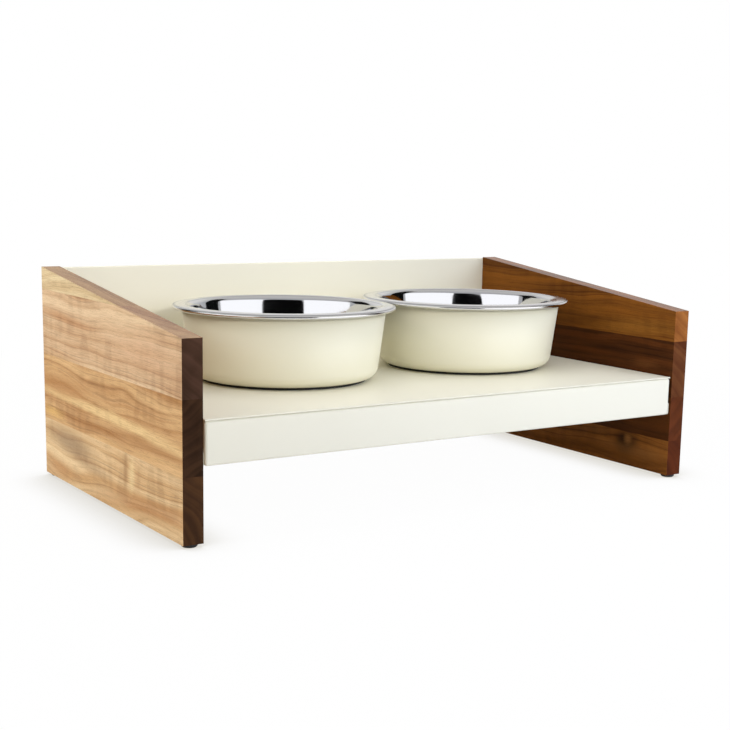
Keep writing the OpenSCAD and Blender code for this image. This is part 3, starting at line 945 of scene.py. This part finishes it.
@dataclass(frozen=True)
class Feeder(SubAssembly):
    """The whole feeder."""

    groups: tuple[SubAssembly, ...]

    def dress(self) -> None:
        """Dress every group in turn."""
        for group in self.groups:
            group.dress()


# ---------------------------------------------------------------- studio


def turned(place: Place, aim: Place, front: str) -> Euler:
    """Turn of a thing that faces a point.

    Args:
        place: Where it is, in metres.
        aim: The point that it faces.
        front: The axis of its own that points there, "Z" or "-Z".

    Returns:
        Its rotation.
    """
    return (Vector(aim) - Vector(place)).to_track_quat(front, "Y").to_euler()


@dataclass(frozen=True)
class Camera:
    """The photograph's camera, from a fit to the feeder's measured edges.

    Attributes:
        place_mm: Where it stands, in millimetres.
        azimuth: Its direction round the feeder, in degrees from the front.
        elevation: Its direction over the floor, in degrees.
        roll: Turn about its own axis, in degrees.
        focal_px: Focal length in pixels of the photograph.
        centre_px: Where its axis meets the photograph, in pixels from the top left.
        picture_px: Width and height of the photograph in pixels.
    """

    place_mm: Place = (-753.17, -1156.57, 310.29)
    azimuth: float = -33.47
    elevation: float = 10.36
    roll: float = 1.07
    focal_px: float = 1335.85
    centre_px: Point = (377.13, 421.21)
    picture_px: float = 730.0

    def build(self) -> None:
        """Place the camera and make it the scene's."""
        az, el, roll = (math.radians(v) for v in (self.azimuth, self.elevation, self.roll))
        back = Vector((math.sin(az) * math.cos(el), -math.cos(az) * math.cos(el), math.sin(el)))
        right = Vector((0, 0, 1)).cross(back).normalized()
        up = back.cross(right)
        level = Matrix((right, up, back)).transposed()
        data = bpy.data.cameras.new("camera")
        data.lens = self.focal_px / self.picture_px * data.sensor_width
        data.shift_x = (self.picture_px / 2 - self.centre_px[0]) / self.picture_px
        data.shift_y = (self.centre_px[1] - self.picture_px / 2) / self.picture_px
        camera = bpy.data.objects.new("camera", data)
        camera.matrix_world = (
            Matrix.Translation(Vector(self.place_mm) * MM)
            @ level.to_4x4()
            @ Matrix.Rotation(roll, 4, "Z")
        )
        bpy.context.scene.collection.objects.link(camera)
        bpy.context.scene.camera = camera
        log.info("camera at %s", tuple(round(v, 3) for v in camera.location))


@dataclass(frozen=True)
class Softbox:
    """A rectangular studio light aimed at a point, seen by neither camera nor polished metal.

    Attributes:
        name: Name of the light.
        place: Where it hangs, in metres.
        aim: The point it faces.
        size: Width and height in metres.
        power: Watts.
        colour: sRGB colour of the light.
        spread: Angle over which its grid lets the light fan out, in degrees.
    """

    name: str
    place: Place
    aim: Place
    size: Pair
    power: float
    colour: str = WHITE
    spread: float = 180.0

    def build(self) -> None:
        """Hang the light."""
        data = bpy.data.lights.new(self.name, "AREA")
        data.shape = "RECTANGLE"
        data.size, data.size_y = self.size
        data.energy = self.power
        data.color = linear(self.colour)[:3]
        data.spread = math.radians(self.spread)
        lamp = bpy.data.objects.new(self.name, data)
        lamp.location = self.place
        lamp.rotation_euler = turned(self.place, self.aim, "-Z")
        lamp.visible_camera = False
        lamp.visible_glossy = False
        bpy.context.scene.collection.objects.link(lamp)
        log.info("softbox %s of %.0f W", self.name, self.power)


@dataclass(frozen=True)
class Card:
    """A flat card that hangs in the studio to be seen in the polished metal.

    Attributes:
        name: Name of the card.
        place: Its middle, in metres.
        aim: The point it faces.
        size: Width and height in metres.
        colour: sRGB colour of its face.
        glow: Strength of its own light, 0 for a plain card.
        corner: Radius of its corners in metres.
    """

    name: str
    place: Place
    aim: Place
    size: Pair
    colour: str
    glow: float = 0.0
    corner: float = 0.01

    def build(self) -> None:
        """Hang the card, hidden from the camera and casting no shadow."""
        half_w, half_h = (side / 2 - self.corner for side in self.size)
        outline = []
        for start, across, up in ((0, 1, 1), (90, -1, 1), (180, -1, -1), (270, 1, -1)):
            outline += arc((across * half_w, up * half_h), self.corner, start, start + 90, steps=8)
        mesh = bpy.data.meshes.new(self.name)
        mesh.from_pydata([(x, y, 0.0) for x, y in outline], [], [range(len(outline))])
        card = bpy.data.objects.new(self.name, mesh)
        card.location = self.place
        card.rotation_euler = turned(self.place, self.aim, "Z")
        sh = Shader(bpy.data.materials.new(self.name))
        if self.glow:
            face = sh.node("Emission", {"Color": linear(self.colour), "Strength": self.glow})
        else:
            face = sh.node("BsdfDiffuse", {"Color": linear(self.colour)})
        mesh.materials.append(sh.finish(face.outputs[0]))
        card.visible_camera = False
        card.visible_diffuse = False
        card.visible_shadow = False
        bpy.context.scene.collection.objects.link(card)
        log.info("card %s", self.name)


@dataclass(frozen=True)
class Studio:
    """White sweep, light and camera.

    Attributes:
        camera: The camera.
        softboxes: The lights.
        cards: The cards.
        floor_colour: sRGB colour of the paper, as it lights the feeder.
        floor_reach: Half the floor's width, in metres.
        tooth_mm: Pitch of the paper's tooth.
        contact_shadow_colour: sRGB colour of the painted contact shadow on the paper close under the
            feeder, as the camera sees it.
        contact_reach: How near the feeder has to be to darken the paper, in metres.
        shadow_share: Share of the lit paper in what the camera sees.
        fade: Distances from the middle over which the floor turns plain white, in metres.
        room_light: Strength of the room's light.
        ambient: Strength of the room as the polished metal shows it.
        backdrop: Strength of the backdrop as the polished metal shows it.
        backdrop_to: Direction of the backdrop, a vector about 1 long.
        backdrop_rise: Cosines to that direction at which the backdrop starts and is whole.
    """

    camera: Camera
    softboxes: tuple[Softbox, ...]
    cards: tuple[Card, ...]
    floor_colour: str = "fafafa"
    floor_reach: float = 6.0
    tooth_mm: float = 1.111
    contact_shadow_colour: str = "dedbd4"
    contact_reach: float = 0.07
    shadow_share: float = 0.022
    fade: Pair = (0.5, 1.1)
    room_light: float = 0.44
    ambient: float = 0.55
    backdrop: float = 0.76
    backdrop_to: Place = (0.55, 0.83, 0.05)
    backdrop_rise: Pair = (0.45, 0.85)

    def build(self) -> None:
        """Set the whole stage."""
        self.camera.build()
        self._world()
        self._floor()
        for item in (*self.softboxes, *self.cards):
            item.build()
        view = bpy.context.scene.view_settings
        view.view_transform = "Standard"
        view.look = "None"

    def _world(self) -> None:
        """White for the camera, an even room light, and a paler backdrop in the metal."""
        sh = Shader(bpy.data.worlds.new("studio"))
        sides = {0: sh.node("TexCoord").outputs["Generated"], 1: self.backdrop_to}
        towards = sh.node("VectorMath", sides, operation="DOT_PRODUCT").outputs["Value"]
        strengths = (self.ambient, self.backdrop)
        strength = sh.apply(Step.SPAN, towards, *self.backdrop_rise, *strengths)
        ray = sh.node("LightPath").outputs
        white = linear(WHITE)
        room = sh.node("Background", {"Color": white, "Strength": self.room_light})
        mirrored = sh.node("Background", {"Color": white, "Strength": strength})
        seen = sh.node("Background", {"Color": white, "Strength": 1.0})
        light = sh.apply(Step.SWITCH, ray["Is Glossy Ray"], room.outputs[0], mirrored.outputs[0])
        whole = sh.apply(Step.SWITCH, ray["Is Camera Ray"], light, seen.outputs[0])
        bpy.context.scene.world = sh.finish(whole)

    def _floor(self) -> None:
        """Lay a seamless white floor just under the glides."""
        mesh = bpy.data.meshes.new("floor")
        reach = self.floor_reach
        corners = [(-reach, -reach, 0), (reach, -reach, 0), (reach, reach, 0), (-reach, reach, 0)]
        mesh.from_pydata(corners, [], [(0, 1, 2, 3)])
        floor = bpy.data.objects.new("floor", mesh)
        mesh.materials.append(self._paper())
        bpy.context.scene.collection.objects.link(floor)
        log.info("floor laid")

    def _paper(self) -> bpy.types.Material:
        """Build the paper, lit for the feeder and nearly burnt out for the camera.

        Returns:
            The material.
        """
        sh = Shader(bpy.data.materials.new("floor_paper"))
        tooth = speckle(sh, self.tooth_mm, 2.0)
        lit = sh.node(
            "BsdfPrincipled",
            {
                "Base Color": linear(self.floor_colour),
                "Roughness": sh.apply(Step.SPAN, tooth, *NOISE_RANGE, 0.5, 0.6),
                "Specular IOR Level": 0.2,
            },
        ).outputs["BSDF"]
        # Painted shadow: for the camera the paper darkens where the feeder is near, read from
        # ambient occlusion.
        sky = sh.node("AmbientOcclusion", {"Distance": self.contact_reach}, samples=16)
        open_sky = sh.apply(Step.SPAN, sky.outputs["AO"], 0.35, 0.95)
        tone = sh.apply(Step.BLEND, open_sky, linear(self.contact_shadow_colour), linear(WHITE))
        burnt = sh.node("Emission", {"Color": tone, "Strength": 1.0}).outputs[0]
        shaded = sh.apply(Step.SWITCH, self.shadow_share, burnt, lit)
        away = sh.apply(Step.LENGTH, sh.node("TexCoord").outputs["Object"])
        white = sh.node("Emission", {"Color": linear(WHITE), "Strength": 1.0}).outputs[0]
        seen = sh.apply(Step.SWITCH, sh.apply(Step.SPAN, away, *self.fade), shaded, white)
        camera_ray = sh.node("LightPath").outputs["Is Camera Ray"]
        return sh.finish(sh.apply(Step.SWITCH, camera_ray, lit, seen))


# Painted shade: the faces of the left staves towards +X, inside the feeder, are toned darker.
LEFT_INSIDE_SHADE = "d2bea0"
LEFT_STAVES = (
    Stave(
        "side_left_stave_1", "ecd1a5", "cda676", (-0.355, -0.030), seed=1.3,
        end_pale="54371f", end_deep="3e2717", right_face_shade=LEFT_INSIDE_SHADE,
        marks=(
            Mark((0.092, 0.048), (0.075, 0.014), "86705a", 0.60, 3.0),
            Mark((0.040, 0.034), (0.055, 0.008), "97775a", 0.45, 4.0),
            Mark((-0.046, 0.046), (0.006, 0.022), "a07a52", 0.50, 6.0),
            Mark((-0.060, 0.044), (0.008, 0.022), "f0dba8", 0.60, 6.0),
            Mark((-0.075, 0.046), (0.005, 0.016), "b08a5e", 0.35, 6.0),
            Mark((-0.095, 0.018), (0.150, 0.012), "b47c48", 0.60, -3.0),
            Mark((0.130, 0.015), (0.060, 0.016), "b8824f", 0.45, 0.0),
        ),
    ),
    Stave(
        "side_left_stave_2", "dcb684", "b78856", (-0.345, 0.190), seed=2.9,
        end_pale="422b1a", end_deep="2e1c0f", right_face_shade=LEFT_INSIDE_SHADE,
        marks=(
            Mark((-0.020, 0.086), (0.240, 0.006), "f0d49c", 0.70, 1.5),
            Mark((-0.020, 0.074), (0.230, 0.006), "a06c39", 0.60, -1.0),
            Mark((0.120, 0.102), (0.110, 0.014), "aa7642", 0.60, 0.0),
            Mark((0.140, 0.068), (0.040, 0.008), "e8c078", 0.60, 0.0),
        ),
    ),
    Stave(
        "side_left_stave_3", "e3c7a2", "c69f78", (-0.350, 0.060), seed=4.1, figure=0.15,
        end_pale="50372a", end_deep="3c281b", right_face_shade=LEFT_INSIDE_SHADE, edge_shade_tint="cbb597",
        marks=(
            Mark((0.095, 0.171), (0.110, 0.006), "b98557", 0.50, 3.0),
            Mark((0.120, 0.128), (0.090, 0.008), "b98a58", 0.45, 1.0),
            Mark((-0.090, 0.160), (0.100, 0.020), "d2a884", 0.45, 0.0),
        ),
    ),
    Stave(
        "side_left_stave_4", "e5d1a8", "c8ab80", (-0.345, 0.090), seed=6.7,
        end_pale="463328", end_deep="37271d", right_face_shade=LEFT_INSIDE_SHADE, edge_shade_tint="c2a584",
    ),
)
RIGHT_STAVES = (
    Stave(
        "side_right_stave_1", "a2652a", "7d4a19", (0.205, -0.035), seed=8.2,
        end_pale="5e2b11", end_deep="4b200b", lines=0.5,
        marks=(
            Mark((-0.103, 0.028), (0.024, 0.014), "241003", 0.95, 0.0),
            Mark((-0.106, 0.031), (0.008, 0.006), "9a6632", 0.90, 0.0),
            Mark((-0.120, 0.022), (0.060, 0.007), "9a6430", 0.50, 2.0),
            Mark((-0.060, 0.036), (0.030, 0.006), "8f5c2a", 0.45, 0.0),
        ),
    ),
    Stave(
        "side_right_stave_2", "5e330f", "3f2008", (0.200, 0.160), seed=9.5,
        end_pale="643115", end_deep="4d240d",
    ),
    Stave(
        "side_right_stave_3", "5c3111", "341a06", (0.205, 0.020), seed=11.4,
        end_pale="6e4122", end_deep="552b13", lines=0.5,
        marks=(
            Mark((-0.070, 0.128), (0.050, 0.006), "251005", 0.60, 3.0),
            Mark((-0.125, 0.118), (0.024, 0.006), "7a4a22", 0.45, -4.0),
        ),
    ),
    Stave(
        "side_right_stave_4", "92591d", "6f4216", (0.200, 0.080), seed=13.8,
        end_pale="a86a32", end_deep="844c20", edge_shade_tint="fbf0e4", edge_gloss=0.60, lines=0.5,
        marks=(
            Mark((-0.110, 0.155), (0.080, 0.012), "a06a28", 0.50, -4.0),
            Mark((0.040, 0.178), (0.060, 0.007), "6b3d12", 0.45, -3.0),
            Mark((0.000, 0.152), (0.090, 0.006), "64380f", 0.50, -5.0),
            Mark((-0.120, 0.146), (0.030, 0.005), "6b3f14", 0.50, 4.0),
        ),
    ),
)


def make_feeder() -> Feeder:
    """Put the feeder's groups together with their finishes.

    Returns:
        The feeder, ready to dress.
    """
    shape = BowlShape()
    spun = (Polished().build(), ENAMEL.build(), RUBBER.build())
    sheet = ("deck", "deck_stiffener", "back_panel", "runner_left", "runner_right")
    drawer = ("drawer_front", "drawer_tray")
    glides = tuple(f"glide_{end}_{side.value}" for end in ("front", "rear") for side in Side)
    screws = ("deck_screws", "runner_screws", "back_wood_screws", "back_deck_screws", "glide_nails")
    other = ("wood_inserts", "clinch_nuts", "drawer_front_nuts", "drawer_stop_pins")
    return Feeder(
        (
            SidePanel(LEFT_STAVES),
            SidePanel(RIGHT_STAVES),
            PlainNodes(POWDER_COAT, sheet + drawer),
            PlainNodes(PLASTIC, glides),
            PlainNodes(ZINC, screws + other),
            *(Bowl(side, shape, *spun) for side in Side),
        )
    )


STUDIO = Studio(
    camera=Camera(),
    softboxes=(
        Softbox("key_front", (0.34, -0.82, 0.44), (0.14, 0.0, 0.13), (0.70, 0.50), 2.85, "d6e2ff"),
        Softbox("side_right", (1.05, -0.62, 0.62), (0.1, 0.0, 0.15), (0.80, 0.60), 2.3, "dfe8ff"),
        Softbox(
            "back_wash", (-0.10, -1.60, 0.64), (-0.06, 0.16, 0.20), (0.60, 0.14), 0.15, "f7f5ee",
            spread=15.0,
        ),
        Softbox("fill_left", (-0.98, 0.28, 0.50), (-0.1, 0.1, 0.16), (1.5, 0.9), 5.7, "fff8ee"),
        Softbox("top", (0.1, -0.1, 1.7), (0.0, 0.0, 0.0), (1.8, 1.4), 12.0),
    ),
    cards=(
        Card(
            "camera_shade", (-0.3975, -0.524, 0.19), (-0.0575, 0.416, 0.17), (0.671, 0.54), "0a0a0a",
            corner=0.12,
        ),
        Card("white_right", (0.40, -1.116, 0.30), (-0.042, -0.219, 0.22), (1.83, 0.95), WHITE, 1.45),
        Card("white_left", (-1.30, 0.00, 0.30), (0.02, 0.0, 0.17), (1.60, 0.95), WHITE, 1.45),
        Card("gap_right", (1.10, -0.25, 0.45), (0.02, 0.0, 0.17), (0.52, 1.40), "101010"),
        Card("gap_left", (-0.505, 0.80, 0.57), (-0.02, 0.0, 0.20), (0.60, 0.50), "101010"),
    ),
)


def main() -> None:
    """Dress the feeder and set the studio."""
    logging.basicConfig(level=logging.INFO, format="%(name)s: %(message)s")
    make_feeder().dress()
    STUDIO.build()


if __name__ == "__main__":
    main()
